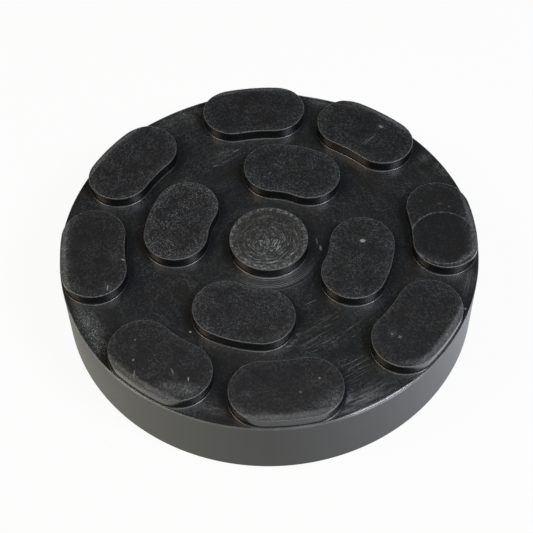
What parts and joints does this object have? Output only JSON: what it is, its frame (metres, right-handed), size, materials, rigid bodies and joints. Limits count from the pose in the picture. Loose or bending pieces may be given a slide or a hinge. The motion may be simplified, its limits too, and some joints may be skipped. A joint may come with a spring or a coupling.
{
  "type": "lift arm rubber pad",
  "caption": "Thick round rubber pad with raised curved grip studs in two rings round a central round stud; rests on a vehicle lift arm and takes the load.",
  "frame": {"origin": "centre of the flat underside", "axes": "+Z along the pad's axis, from the underside towards the studs; +X and +Y each pass through the middle of a stud of the inner ring"},
  "size_m": [0.13, 0.13, 0.0266],
  "materials": {
    "rubber": "moulded black rubber, satin with dusty worn edges"
  },
  "bodies": {
    "root": {"rubber_pad": "rubber"}
  },
  "joints": []
}
